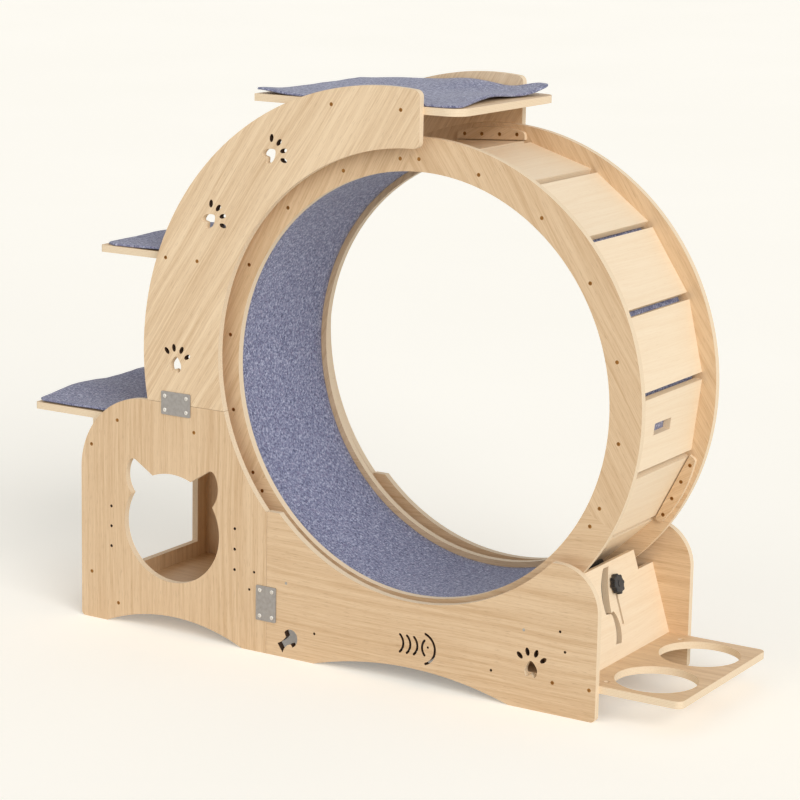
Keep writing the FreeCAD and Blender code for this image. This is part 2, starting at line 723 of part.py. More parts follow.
def slope_board(drop):
    """Flat notched board; it runs `drop` below the level of the bowl board along the slope."""
    left = INNER_FRONT + SLOPE_MIDDLE_INSET
    right = INNER_REAR - SLOPE_MIDDLE_INSET
    return thick(
        outline(
            (INNER_FRONT, -drop),
            (INNER_FRONT, SLOPE_SIDE_S),
            (left, SLOPE_SIDE_S),
            (left, SLOPE_MIDDLE_S),
            (right, SLOPE_MIDDLE_S),
            (right, SLOPE_SIDE_S),
            (INNER_REAR, SLOPE_SIDE_S),
            (INNER_REAR, -drop),
        ),
        PLY,
    )


def standing_on(board, level):
    """Sloping board with its foot cut level so that it stands flat."""
    reach = SLOPE_SIDE_S
    below = Part.makeBox(2 * reach, DEPTH, reach, at(SLOPE_FOOT_X - reach, level - reach))
    return cut(board, [below] + brace_screws(SCREW_FIT))


def tail_opening():
    """Tail-shaped opening beside the lock slot, drawn in the plane of the board."""
    left_via, left, root, waist = TAIL_LEFT
    low_via, low_left, low_right, back_via, back = TAIL_LOW
    neck, high_via, high_right, high_left = TAIL_HIGH
    left_side = (high_left, (left_via, left), root, waist, (low_via, low_left))
    right_side = (low_right, (back_via, back), neck, (high_via, high_right))
    opening = thick(outline(*left_side, *right_side), PLY)
    opening.translate(at(LOCK_BOLT_Y, 0))
    return opening


def lock_board():
    """Right sloping board with the slot of the lock bolt and the tail-shaped opening."""
    low = LOCK_BOLT_S - LOCK_DOWN
    high = LOCK_BOLT_S + LOCK_UP
    left = LOCK_BOLT_Y - LOCK_SLOT_HALF
    right = LOCK_BOLT_Y + LOCK_SLOT_HALF
    slot = outline(
        (left, low),
        (left, high),
        ((LOCK_BOLT_Y, high + LOCK_SLOT_HALF), (right, high)),
        (right, low),
        ((LOCK_BOLT_Y, low - LOCK_SLOT_HALF), (left, low)),
    )
    flat = cut(slope_board(PLY), [thick(slot, PLY), tail_opening()])
    return standing_on(on_slope(flat), SLOPE_FOOT_Z)


def house_slope_board():
    """Left sloping board, the wheel-side wall of the cat house, standing on its floor."""
    level = HOUSE_FLOOR[2] + PLY
    drop = PLY + (SLOPE_FOOT_Z - level) / math.cos(math.radians(SLOPE_TILT))
    board = standing_on(on_slope(slope_board(drop)), level)
    return board.mirror(V(), V(1, 0, 0))


# ---------------------------------------------------------------- lock

def tab_tip_s():
    """How far up the slope the tab reaches when it just clears the turning slats."""
    tilt = math.radians(SLOPE_TILT)
    inward = TAB_BACK - PLY / 2
    x = SLOPE_FOOT_X - inward * math.cos(tilt)
    z = SLOPE_FOOT_Z - inward * math.sin(tilt) - WHEEL_Z
    clear_r = math.hypot(SLAT_OUTER_R, SLAT_WIDTH / 2) + TAB_CLEARANCE
    nearest = x * math.sin(tilt) - z * math.cos(tilt)
    return nearest - math.sqrt(nearest ** 2 - x ** 2 - z ** 2 + clear_r ** 2)


def lock_tab():
    """Steel plate behind the lock board that rises into a slotted slat."""
    tip = tab_tip_s()
    left = DEPTH / 2 - TAB_WIDTH / 2
    right = DEPTH / 2 + TAB_WIDTH / 2
    corners = [(left, tip), (right, tip)]
    face = outline((left, tip - TAB_LENGTH), *corners, (right, tip - TAB_LENGTH))
    tab = rounded(thick(face, TAB_THICKNESS, TAB_FRONT), corners, TAB_CORNER_R)
    return on_slope(cut(tab, [lock_bolt_flat(SCREW_FIT)]))


def lock_washer():
    """Washer that holds the tab off the lock board."""
    bore_r = LOCK_BOLT_R + SCREW_FIT
    start = PLY + MOVING_GAP
    return on_slope(tube(WASHER_R, bore_r, WASHER_THICKNESS, start, LOCK_BOLT_Y, LOCK_BOLT_S))


def lock_bolt_flat(grow=0.0):
    """Bolt through tab, washer, slot and knob, drawn in the plane of the board."""
    profile = [
        (0, -BOLT_HEAD_HEIGHT),
        (BOLT_HEAD_R, -BOLT_HEAD_HEIGHT),
        (BOLT_HEAD_R, 0),
        (LOCK_BOLT_R + grow, 0),
        (LOCK_BOLT_R + grow, TAB_BACK + BOLT_REACH),
        (0, TAB_BACK + BOLT_REACH),
    ]
    return turned(profile, at(LOCK_BOLT_Y, LOCK_BOLT_S, TAB_BACK), V(0, -1, 0))


def lock_knob():
    """Flat fluted knob with a centre boss, in front of the lock board on the bolt."""
    base = at(LOCK_BOLT_Y, LOCK_BOLT_S, -MOVING_GAP)
    outward = V(0, -1, 0)
    grip_height = KNOB_HEIGHT - KNOB_HUB_HEIGHT
    grip_base = base + outward * KNOB_HUB_HEIGHT
    grip = Part.makeCylinder(KNOB_R, grip_height, grip_base, outward)
    lobes = []
    for index in range(KNOB_LOBES):
        angle = 2 * math.pi * index / KNOB_LOBES
        offset = at(KNOB_LOBE_AT * math.cos(angle), KNOB_LOBE_AT * math.sin(angle))
        lobes.append(Part.makeCylinder(KNOB_LOBE_R, grip_height, grip_base + offset, outward))
    grip = grip.fuse(lobes).removeSplitter()
    top = -MOVING_GAP - KNOB_HEIGHT
    crown = [e for e in grip.Edges if abs(e.BoundBox.YMax - top) < 0.01]
    grip = grip.makeFillet(KNOB_EDGE_R, crown)
    hub = Part.makeCylinder(KNOB_HUB_R, KNOB_HUB_HEIGHT, base, outward)
    boss_base = base + outward * KNOB_HEIGHT
    boss = Part.makeCylinder(KNOB_BOSS_R, KNOB_BOSS_HEIGHT, boss_base, outward)
    knob = grip.fuse([hub, boss]).removeSplitter()
    return on_slope(cut(knob, [lock_bolt_flat(AXLE_FIT)]))


# ---------------------------------------------------------------- rollers

def axle(x, grow=0.0):
    """Shoulder bolt of a front roller, screwed into the side from the wheel side."""
    head_y = roller_front_y() + ROLLER_WIDTH + MOVING_GAP
    profile = [
        (0, 0),
        (AXLE_R + grow, 0),
        (AXLE_R + grow, head_y),
        (AXLE_HEAD_R, head_y),
        (AXLE_HEAD_R, head_y + AXLE_HEAD_HEIGHT),
        (0, head_y + AXLE_HEAD_HEIGHT),
    ]
    return turned(profile, at(x, ROLLER_Z), Y_AXIS)


def roller_front_y():
    """Front face of a front roller, centred on the ring it carries."""
    return RING_FRONT_Y + PLY / 2 - ROLLER_WIDTH / 2


def roller(x):
    """Front roller with a flange on each side of the ring."""
    groove = PLY / 2 + FLANGE_GAP
    middle = ROLLER_WIDTH / 2
    profile = [
        (AXLE_R + AXLE_FIT, 0),
        (FLANGE_R, 0),
        (FLANGE_R, middle - groove),
        (TREAD_R, middle - groove),
        (TREAD_R, middle + groove),
        (FLANGE_R, middle + groove),
        (FLANGE_R, ROLLER_WIDTH),
        (AXLE_R + AXLE_FIT, ROLLER_WIDTH),
    ]
    return turned(profile, at(x, ROLLER_Z, roller_front_y()), Y_AXIS)


def rollers():
    """The four rollers, their bolts and the collars that hold them off the sides."""
    places = (("left", -ROLLER_X), ("right", ROLLER_X))
    nodes = {}
    for side, x in places:
        nodes["front_" + side + "_roller"] = roller(x)
        nodes["rear_" + side + "_roller"] = mirrored_in_depth(roller(x))
    collar = roller_front_y() - MOVING_GAP - PLY
    spacers = [tube(SPACER_R, AXLE_R + AXLE_FIT, collar, PLY, x, ROLLER_Z) for _, x in places]
    nodes["roller_axles"] = group(both_sides([axle(x) for _, x in places]))
    nodes["roller_spacers"] = group(both_sides(spacers))
    return nodes


# ---------------------------------------------------------------- wheel

def wheel_point(radius, angle):
    """Point in the x-z plane at an angle about the wheel axis."""
    turn = math.radians(angle)
    return radius * math.cos(turn), WHEEL_Z + radius * math.sin(turn)


def slat_angle(index):
    """Angle of a slat; the slats are counted clockwise from the top."""
    return FIRST_SLAT_ANGLE - SLAT_PITCH * index


def slat_name(index):
    """Node name of a slat."""
    return "slat_%02d" % (index + 1)


def ring_segment(index):
    """One third of the front ring, between two of the ring joints."""
    start = slat_angle(index * JOINT_EVERY)
    end = slat_angle((index + 1) * JOINT_EVERY)
    middle = (start + end) / 2
    face = outline(
        wheel_point(RING_OUTER_R, start),
        (wheel_point(RING_OUTER_R, middle), wheel_point(RING_OUTER_R, end)),
        wheel_point(RING_INNER_R, end),
        (wheel_point(RING_INNER_R, middle), wheel_point(RING_INNER_R, start)),
    )
    return thick(face, PLY, RING_FRONT_Y)


def slat(index):
    """Cross board of the wheel; some slats have the slot that the lock tab enters."""
    low_corner = at(SLAT_INNER_R, WHEEL_Z - SLAT_WIDTH / 2, SLAT_FRONT_Y)
    board = Part.makeBox(PLY, SLAT_LENGTH, SLAT_WIDTH, low_corner)
    if slat_name(index) in LOCK_SLATS:
        corner = at(SLAT_INNER_R, WHEEL_Z + LOCK_SLOT_LOW, DEPTH / 2 - LOCK_SLOT_WIDTH / 2)
        slot = Part.makeBox(PLY, LOCK_SLOT_WIDTH, LOCK_SLOT_HIGH - LOCK_SLOT_LOW, corner)
        board = cut(board, [slot])
    return about_wheel(board, slat_angle(index))


def ring_screws(grow=0.0):
    """Screws through both rings into the slat ends: one each, two where segments meet."""
    screws = []
    for index in range(SLAT_COUNT):
        is_joint = index % JOINT_EVERY == 0
        offsets = (-JOINT_SCREW_OFFSET, JOINT_SCREW_OFFSET) if is_joint else (0,)
        for offset in offsets:
            head = at(RING_SCREW_R, WHEEL_Z + offset, RING_FRONT_Y)
            screw = wood_screw(head, Y_AXIS, RING_SCREW_LENGTH, grow=grow)
            screws.append(about_wheel(screw, slat_angle(index)))
    return both_sides(screws)


def splice():
    """Plywood plate behind a ring joint, its straight edge just outside the slat."""
    end_r = SPLICE_INNER_R + SPLICE_END_WIDTH
    low, high = WHEEL_Z - SPLICE_HALF, WHEEL_Z + SPLICE_HALF
    face = outline(
        (SPLICE_INNER_R, low),
        (end_r, low),
        ((SPLICE_INNER_R + SPLICE_MIDDLE_WIDTH, WHEEL_Z), (end_r, high)),
        (SPLICE_INNER_R, high),
    )
    plate = thick(face, SPLICE_THICKNESS, SLAT_FRONT_Y)
    return rounded(plate, [(end_r, low), (end_r, high)], SPLICE_CORNER_R)


def splice_screws(grow=0.0):
    """Four screws through each splice plate into the two ring segments it joins."""
    screws = []
    for index in range(0, SLAT_COUNT, JOINT_EVERY):
        for offset in SPLICE_SCREW_OFFSETS:
            head = at(SPLICE_SCREW_R, WHEEL_Z + offset, SLAT_FRONT_Y + SPLICE_THICKNESS)
            screw = wood_screw(head, V(0, -1, 0), SPLICE_SCREW_LENGTH, grow=grow)
            screws.append(about_wheel(screw, slat_angle(index)))
    return both_sides(screws)


def liner():
    """Felt tube inside the slats."""
    length = SLAT_LENGTH - 2 * LINER_END_GAP
    start = SLAT_FRONT_Y + LINER_END_GAP
    return tube(LINER_OUTER_R, LINER_OUTER_R - FELT, length, start, z=WHEEL_Z)


def wheel():
    """Everything that turns: rings, splice plates, slats, felt and screws."""
    drills = ring_screws(SCREW_FIT) + splice_screws(SCREW_FIT)
    nodes = {}
    for index in range(SLAT_COUNT // JOINT_EVERY):
        segment = ring_segment(index)
        nodes["front_ring_%d" % (index + 1)] = cut(segment, drills)
        nodes["rear_ring_%d" % (index + 1)] = cut(mirrored_in_depth(segment), drills)
    for index in range(SLAT_COUNT):
        nodes[slat_name(index)] = cut(slat(index), drills)
    joints = [slat_angle(index) for index in range(0, SLAT_COUNT, JOINT_EVERY)]
    splices = both_sides([about_wheel(splice(), angle) for angle in joints])
    nodes["ring_splices"] = group([cut(plate, drills) for plate in splices])
    nodes["ring_screws"] = group(ring_screws())
    nodes["splice_screws"] = group(splice_screws())
    nodes["felt_liner"] = liner()
    return nodes


# ---------------------------------------------------------------- the whole object

def group(solids):
    """Identical pieces kept as separate solids in one node."""
    return Part.makeCompound(solids)


def all_nodes():
    """Every node of the object by name."""
    nodes = side_panels()
    nodes.update(level_boards())
    nodes.update(step_felts())
    nodes["house_slope_board"] = house_slope_board()
    nodes["lock_board"] = lock_board()
    nodes["joining_plates"] = group(joining_plates())
    nodes["plate_screws"] = group(both_sides(plate_screws_front()))
    nodes["panel_screws"] = group(panel_screws())
    nodes["brace_screws"] = group(brace_screws())
    nodes.update(rollers())
    nodes.update(wheel())
    nodes["lock_tab"] = lock_tab()
    nodes["lock_washer"] = lock_washer()
    nodes["lock_bolt"] = on_slope(lock_bolt_flat())
    nodes["lock_knob"] = lock_knob()
    return nodes


def main():
    """Write each node with the origin on the floor, under the middle of the object."""
    middle_x = (LOWER_STEP[0] + BOWL_BOARD[1]) / 2
    to_origin = V(-middle_x, -DEPTH / 2, 0)
    os.makedirs("parts", exist_ok=True)
    for name, shape in all_nodes().items():
        shape.translate(to_origin)
        shape.exportStep("parts/" + name + ".step")


main()
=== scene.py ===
import json
import math

import bpy
from mathutils import Matrix, Vector, noise


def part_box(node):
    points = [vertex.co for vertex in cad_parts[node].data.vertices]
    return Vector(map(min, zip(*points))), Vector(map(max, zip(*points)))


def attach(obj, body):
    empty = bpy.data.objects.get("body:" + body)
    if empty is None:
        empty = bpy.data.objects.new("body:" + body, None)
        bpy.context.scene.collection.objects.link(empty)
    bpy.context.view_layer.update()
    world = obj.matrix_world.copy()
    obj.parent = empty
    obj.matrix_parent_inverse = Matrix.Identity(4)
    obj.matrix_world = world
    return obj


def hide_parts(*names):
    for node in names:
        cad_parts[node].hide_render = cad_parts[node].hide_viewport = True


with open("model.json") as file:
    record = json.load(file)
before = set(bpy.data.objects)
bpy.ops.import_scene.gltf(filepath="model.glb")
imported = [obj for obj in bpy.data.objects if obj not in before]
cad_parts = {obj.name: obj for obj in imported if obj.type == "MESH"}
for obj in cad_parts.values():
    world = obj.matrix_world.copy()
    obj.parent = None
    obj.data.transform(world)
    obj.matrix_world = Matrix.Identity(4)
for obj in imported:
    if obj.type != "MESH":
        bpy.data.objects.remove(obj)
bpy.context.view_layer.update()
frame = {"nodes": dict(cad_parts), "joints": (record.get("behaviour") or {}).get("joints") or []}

# Everything is in metres, in the frame of the solids: the floor is z = 0 and the wheel turns
# about the line through WHEEL_CENTRE along y.
JOINTS = {joint["name"]: joint for joint in frame["joints"]}
WHEEL_X, _, WHEEL_Z = JOINTS["wheel_spin"]["pos_m"]
WHEEL_CENTRE = (WHEEL_X, 0.0, WHEEL_Z)
ALONG_X = (1, 0, 0)
ALONG_Y = (0, 1, 0)
ALONG_Z = (0, 0, 1)
SIDES = ("front", "rear")
SLATS = ["slat_%02d" % (number + 1) for number in range(18)]

# ---- Colours, written as sRGB ----
OAK = (232, 202, 164)
OAK_PALE = (245, 219, 183)
OAK_DARK = (200, 163, 120)
OAK_PORE = (150, 112, 74)
SLAT = (246, 226, 196)
SLAT_DARK = (233, 205, 168)
SLAT_PORE = (216, 182, 142)
PLY_EDGE = (240, 219, 188)
PLY_EDGE_DARK = (214, 182, 142)
# Painted shade for the walls of the small cut-outs, with some burnt wood from the cutter.
CUTOUT_SHADE_AND_BURN = (66, 44, 28)
FELT_DARK = (62, 66, 98)
FELT_MIDDLE = (126, 130, 160)
FELT_LIGHT = (206, 208, 226)
FELT_VIOLET = (128, 112, 142)
FLOOR = (254, 251, 243)
FLOOR_CLOUD = (248, 245, 236)

# Metals and plastics: the clean colour, then the dull or worn one.
PLATE_STEEL = ((170, 166, 164), (150, 146, 142))
BRIGHT_ZINC = ((236, 233, 228), (206, 202, 196))
YELLOW_ZINC = ((176, 128, 72), (120, 80, 42))
BOLT_ZINC = ((188, 186, 182), (150, 148, 144))
BROWN_STEEL = ((74, 56, 42), (44, 34, 26))
# Black of the lock tab: its edge above the lock board stands in for the dark wedge of shade under
# the wheel.
BLACK_STEEL_AS_SHADE = ((40, 38, 36), (58, 54, 50))
BLACK_NYLON = ((40, 40, 42), (60, 60, 62))
BLACK_KNOB = ((34, 34, 36), (58, 56, 56))
BLACK_RUBBER = ((36, 35, 34), (58, 56, 54))


def linear(rgb):
    """Linear colour with alpha from 0-255 sRGB."""
    channels = []
    for value in rgb:
        share = value / 255
        channels.append(share / 12.92 if share <= 0.04045 else ((share + 0.055) / 1.055) ** 2.4)
    return (*channels, 1.0)


# ---------------------------------------------------------------- shader maths

class Value:
    """Output of a shader node. Arithmetic on it adds Math nodes."""

    def __init__(self, paint, socket):
        self.paint = paint
        self.socket = socket

    def __add__(self, other):
        return self.paint.math("ADD", self, other)

    def __sub__(self, other):
        return self.paint.math("SUBTRACT", self, other)

    def __rsub__(self, other):
        return self.paint.math("SUBTRACT", other, self)

    def __mul__(self, other):
        return self.paint.math("MULTIPLY", self, other)

    __radd__ = __add__
    __rmul__ = __mul__


class Nodes:
    """Nodes of one material or world."""

    def __init__(self, tree):
        self.tree = tree

    def node(self, kind, settings=None, inputs=None, output=0):
        """Any node: its settings are set first, then its sockets get values or links."""
        node = self.tree.nodes.new(kind)
        for key, value in (settings or {}).items():
            if key == "stops":
                self.set_stops(node.color_ramp, value)
            else:
                setattr(node, key, value)
        for key, value in (inputs or {}).items():
            self.feed(node.inputs[key], value)
        return Value(self, node.outputs[output])

    @staticmethod
    def set_stops(ramp, stops):
        """Give a colour ramp its stops, each a position and a colour."""
        while len(ramp.elements) < len(stops):
            ramp.elements.new(0.5)
        for element, (position, color) in zip(ramp.elements, stops):
            element.position = position
            element.color = color

    def feed(self, socket, value):
        """Link a Value to a socket, or set the socket to a plain value."""
        if isinstance(value, Value):
            self.tree.links.new(value.socket, socket)
        else:
            socket.default_value = value

    def math(self, operation, *values):
        """Math node on numbers."""
        return self.node("ShaderNodeMath", {"operation": operation}, dict(enumerate(values)))

    def vector_math(self, operation, *values, output="Vector"):
        """Vector Math node; its output is "Value" where the result is a number."""
        settings = {"operation": operation}
        return self.node("ShaderNodeVectorMath", settings, dict(enumerate(values)), output)

    def dot(self, vector, axis):
        """Length of a vector along an axis."""
        return self.vector_math("DOT_PRODUCT", vector, axis, output="Value")

    def without_y(self, vector):
        """A vector as it looks from the front."""
        return self.vector_math("MULTIPLY", vector, (1, 0, 1))

    def mix(self, factor, first, second):
        """Colour between two colours."""
        settings = {"data_type": "RGBA"}
        return self.node("ShaderNodeMix", settings, {0: factor, 6: first, 7: second}, 2)

    def step(self, value, low, high):
        """0 at low, 1 at high, smooth between and flat beyond. low may be the larger."""
        settings = {"interpolation_type": "SMOOTHSTEP"}
        inputs = {"Value": value, "From Min": low, "From Max": high}
        return self.node("ShaderNodeMapRange", settings, inputs)

    def seen_directly(self):
        """1 for what the camera, a reflection or a clear material sees, 0 for bounced light."""
        path = "ShaderNodeLightPath"
        camera = self.node(path, output="Is Camera Ray")
        glossy = self.node(path, output="Is Glossy Ray")
        through = self.node(path, output="Is Transmission Ray")
        return self.math("MAXIMUM", self.math("MAXIMUM", camera, glossy), through)

    def place(self):
        """Position on the piece, in metres, which moves with the piece."""
        return self.node("ShaderNodeTexCoord", output="Object")

    def facing(self):
        """Direction the surface faces, in the piece's own axes."""
        return self.node("ShaderNodeTexCoord", output="Normal")

    def noise(self, vector, scale, detail=2.0, roughness=0.5, distortion=0.0):
        """Noise from 0 to 1."""
        inputs = {
            "Vector": vector,
            "Scale": scale,
            "Detail": detail,
            "Roughness": roughness,
            "Distortion": distortion,
        }
        return self.node("ShaderNodeTexNoise", {}, inputs)

    def combine(self, x, y, z):
        """Vector from three numbers."""
        return self.node("ShaderNodeCombineXYZ", {}, {0: x, 1: y, 2: z})


class Paint(Nodes):
    """A material under construction, with its Principled shader."""

    def __init__(self, name, **constants):
        self.material = bpy.data.materials.new(name)
        self.material.use_nodes = True
        super().__init__(self.material.node_tree)
        self.shader = self.tree.nodes["Principled BSDF"]
        for socket, value in constants.items():
            self.shader.inputs[socket.replace("_", " ")].default_value = value

    def bump(self, height, strength, distance):
        """Surface relief that feeds the shader's Normal."""
        inputs = {"Height": height, "Strength": strength, "Distance": distance}
        self.feed(self.shader.inputs["Normal"], self.node("ShaderNodeBump", {}, inputs))

    def color(self, value):
        """Colour of the surface."""
        self.feed(self.shader.inputs["Base Color"], value)

    def roughness(self, value):
        """Roughness of the surface."""
        self.feed(self.shader.inputs["Roughness"], value)


# ---------------------------------------------------------------- wood

PLY = 0.015
LAYER_PAIRS = 5
SLAT_R = 0.455
PALE_TONES = (OAK_PALE, OAK_DARK, OAK_PORE)
SLAT_TONES = (SLAT, SLAT_DARK, SLAT_PORE)
ARC_GRAIN_ANGLE = 57
SPLICE_GRAIN_ANGLE = 30
RING_GRAIN_ANGLES = (-56.8, 3.2, 63.2)

# Small cut-outs whose walls are painted dark: painted shade in these narrow recesses, partly
# burnt wood from the cutter. The paws on the arc panels are placed by distance from the wheel
# axis and angle. A spot is x, z, outer and inner radius: a paw's toes get the painted shade and
# its pad is pale.
ARC_PAWS = [(0.5517, 126.76), (0.5627, 148.27), (0.5637, 181.63)]
TOES = (0.047, 0.022)
BASE_CUTOUTS = [(0.466, 0.083, *TOES), (0.208, 0.081, 0.052, 0.0), (-0.108, 0.036, 0.033, 0.0)]
PEG_HOLES = [(x, z, 0.005, 0.0) for x in (-0.565, -0.242) for z in (0.1675, 0.2115, 0.2555)]
SPOT_BLUR = 0.002


def across_wheel(angle):
    """Unit vector in the x-z plane at an angle above +x, in degrees."""
    turn = math.radians(angle)
    return (math.cos(turn), 0.0, math.sin(turn))


def arc_paws():
    """Spots for the paws of an arc panel."""
    spots = []
    for radius, angle in ARC_PAWS:
        x, _, z = across_wheel(angle)
        spots.append((WHEEL_X + radius * x, WHEEL_Z + radius * z, *TOES))
    return spots


def shaded_burnt_walls(paint, place, spots):
    """1 inside any of the round spots, seen from the front, where the walls get painted shade and
    some burn.
    """
    flat = paint.without_y(place)
    mask = 0.0
    for x, z, outer, inner in spots:
        away = paint.vector_math("DISTANCE", flat, (x, 0, z), output="Value")
        spot = paint.step(away, outer + SPOT_BLUR, outer)
        if inner:
            spot = spot * paint.step(away, inner - SPOT_BLUR, inner)
        mask = paint.math("MAXIMUM", spot, mask)
    return mask


def grain_streaks(paint, along, across, seed):
    """Broad figure, growth lines, fine fibres and pores of a veneer, each from 0 to 1."""
    bend = paint.noise(paint.combine(along * 1.6, across * 5.0, seed), 1.0, 2.0)
    figure = paint.noise(paint.combine(along * 1.2, across * 9.0, seed + 3.0), 1.0, 3.0, 0.55)
    lines_at = across * 95.0 + bend * 7.0
    lines = paint.noise(paint.combine(along * 0.9, lines_at, seed + 7.0), 1.0, 1.0, 0.4)
    fibres_at = across * 330.0 + bend * 9.0
    fibres = paint.noise(paint.combine(along * 7.0, fibres_at, seed), 1.0, 3.0, 0.75)
    pores = paint.noise(paint.combine(along * 40.0, across * 900.0, seed + 5.0), 1.0, 1.0)
    return figure, lines, fibres, pores


def board_axes(paint, place, face, grain):
    """For a board: distance across the grain, depth through it, and broad-face mask."""
    face = Vector(face).normalized()
    across = paint.dot(place, face.cross(grain))
    depth = paint.dot(place, face)
    looks = paint.dot(paint.facing(), face)
    return across, depth, paint.step(paint.math("ABSOLUTE", looks), 0.6, 0.8)


def slat_axes(paint, place):
    """For the slats: distance round the wheel, distance from its axis, and broad-face mask."""
    from_axis = paint.vector_math("SUBTRACT", place, WHEEL_CENTRE)
    flat = paint.without_y(from_axis)
    radius = paint.vector_math("LENGTH", flat, output="Value")
    outward = paint.vector_math("NORMALIZE", flat)
    x = paint.dot(from_axis, ALONG_X)
    z = paint.dot(from_axis, ALONG_Z)
    round_the_wheel = paint.math("ARCTAN2", z, x) * SLAT_R
    looks = paint.dot(paint.facing(), outward)
    return round_the_wheel, radius, paint.step(paint.math("ABSOLUTE", looks), 0.75, 0.9)


def ply_edge(paint, place, depth, spots):
    """Colour of a cut edge: layers in turn pale and darker, with painted shade and some burn
    inside the spots.
    """
    layer = paint.math("SINE", depth * (2 * math.pi / (PLY / LAYER_PAIRS)))
    speckle = paint.noise(place, 420.0, 2.0, 0.6)
    tone = paint.step(layer * 0.25 + speckle, 0.35, 0.95)
    edge = paint.mix(tone * 0.55, linear(PLY_EDGE), linear(PLY_EDGE_DARK))
    if spots:
        # Painted shade, partly burnt wood, on the walls inside the small cut-outs.
        edge = paint.mix(shaded_burnt_walls(paint, place, spots), edge, linear(CUTOUT_SHADE_AND_BURN))
    return edge


def wood(name, face, grain, tones=(OAK, OAK_DARK, OAK_PORE), contrast=1.0, seed=0.0, spots=()):
    """Plywood: veneer on the broad faces, layered pale edges elsewhere.

    face is the direction the broad faces look, or None where they look towards the wheel axis,
    and grain the direction of the veneer's grain. The walls of the cut-outs at spots get painted
    shade, partly burnt wood.
    """
    paint = Paint(name, Coat_Weight=0.06, Coat_Roughness=0.35)
    light, dark, pore = [linear(tone) for tone in tones]
    grain = Vector(grain).normalized()
    place = paint.place()
    if face is None:
        across, depth, broad = slat_axes(paint, place)
    else:
        across, depth, broad = board_axes(paint, place, face, grain)
    along = paint.dot(place, grain)
    figure, lines, fibres, pores = grain_streaks(paint, along, across, seed)
    tone = paint.step(figure * 0.25 + lines * 0.35 + fibres * 0.55, 0.40, 0.80)
    veneer = paint.mix(tone * (0.85 * contrast), light, dark)
    pore_mask = paint.step(pores, 0.6, 0.75) * (0.4 * contrast)
    veneer = paint.mix(pore_mask, veneer, pore)
    paint.color(paint.mix(broad, ply_edge(paint, place, depth, spots), veneer))
    paint.roughness(0.62 - broad * 0.14 + fibres * 0.08)
    paint.bump(fibres * 0.6 + pores * 0.4, 0.12, 0.0004)
    return paint.material


# ---------------------------------------------------------------- felt

FELT_THICKNESS = 0.0045
FELT_RIM = 0.3 * FELT_THICKNESS
LINER_SEAM_ANGLE = -64.0
LINER_SEAM_GAP = 0.001
LINER_CELLS = (216, 12)
SHEET_CELL = 0.009

# Unevenness of the felts: size of the lumps, then their height.
LINER_LUMPS = (0.12, 0.001)
STEP_LUMPS = (0.11, 0.0015)
CUT_EDGE_LUMPS = (0.03, 0.002)

# Where the felts lift off their steps: share of the length, share of the depth, height, reach.
TOP_RISES = [
    (0.0, 0.0, 0.007, 0.06),
    (0.28, 1.0, 0.008, 0.10),
    (0.62, 1.0, 0.016, 0.09),
    (1.0, 0.45, 0.008, 0.09),
    (1.0, 1.0, 0.018, 0.06),
    (0.45, 0.5, 0.003, 0.09),
]
MIDDLE_RISES = [
    (0.0, 0.5, 0.002, 0.05),
    (0.5, 0.0, 0.003, 0.08),
]
LOWER_RISES = [
    (0.0, 0.36, 0.014, 0.11),
    (0.0, 0.95, 0.010, 0.11),
    (0.35, 0.0, 0.003, 0.07),
]

# Felt, its step, which end is free (-1 left, 1 right), that end's corner radius and hollow.
STEP_FELTS = [
    ("top_step_felt", "top_platform", 1, 0.034, 0.030, TOP_RISES),
    ("middle_sheet_felt", "middle_step", -1, 0.030, 0.0, MIDDLE_RISES),
    ("lower_sheet_felt", "lower_step", -1, 0.012, 0.0, LOWER_RISES),
]


def felt(name):
    """Heathered blue-grey felt: matted clumps of pale, dark and violet fibres with a soft nap."""
    paint = Paint(name, Sheen_Weight=0.2, Sheen_Roughness=0.5)
    place = paint.place()
    clumps = paint.noise(place, 210.0, 3.0, 0.7, 0.6)
    fibres = paint.noise(place, 700.0, 2.0, 0.7, 1.5)
    tint = paint.noise(place, 130.0, 2.0, 0.5)
    stops = [
        (0.36, linear(FELT_DARK)),
        (0.5, linear(FELT_MIDDLE)),
        (0.66, linear(FELT_LIGHT)),
    ]
    mixed = clumps * 0.75 + fibres * 0.25
    color = paint.node("ShaderNodeValToRGB", {"stops": stops}, {0: mixed})
    violet = paint.step(tint, 0.52, 0.7) * 0.35
    paint.color(paint.mix(violet, color, linear(FELT_VIOLET)))
    paint.roughness(0.9 + clumps * 0.1)
    paint.bump(mixed, 0.6, 0.0015)
    return paint.material


def thick_sheet(name, rows, material):
    """Mesh sheet through a grid of points, given the felt's thickness and a soft worn rim."""
    across = len(rows[0])
    points = [point for row in rows for point in row]
    faces = [
        (i * across + j, (i + 1) * across + j, (i + 1) * across + j + 1, i * across + j + 1)
        for i in range(len(rows) - 1)
        for j in range(across - 1)
    ]
    mesh = bpy.data.meshes.new(name)
    mesh.from_pydata(points, [], faces)
    mesh.materials.append(material)
    mesh.shade_smooth()
    piece = bpy.data.objects.new(name, mesh)
    bpy.context.scene.collection.objects.link(piece)
    solid = piece.modifiers.new("thickness", "SOLIDIFY")
    solid.thickness = FELT_THICKNESS
    solid.offset = 1.0
    rim = piece.modifiers.new("rim", "BEVEL")
    rim.width = FELT_RIM
    rim.segments = 2
    rim.limit_method = "ANGLE"
    rim.angle_limit = math.radians(50)
    return piece


def lump(x, y, z, size, height):
    """Small unevenness of hand-cut felt at a place in the noise."""
    return height * noise.noise(Vector((x, y, z)) / size)


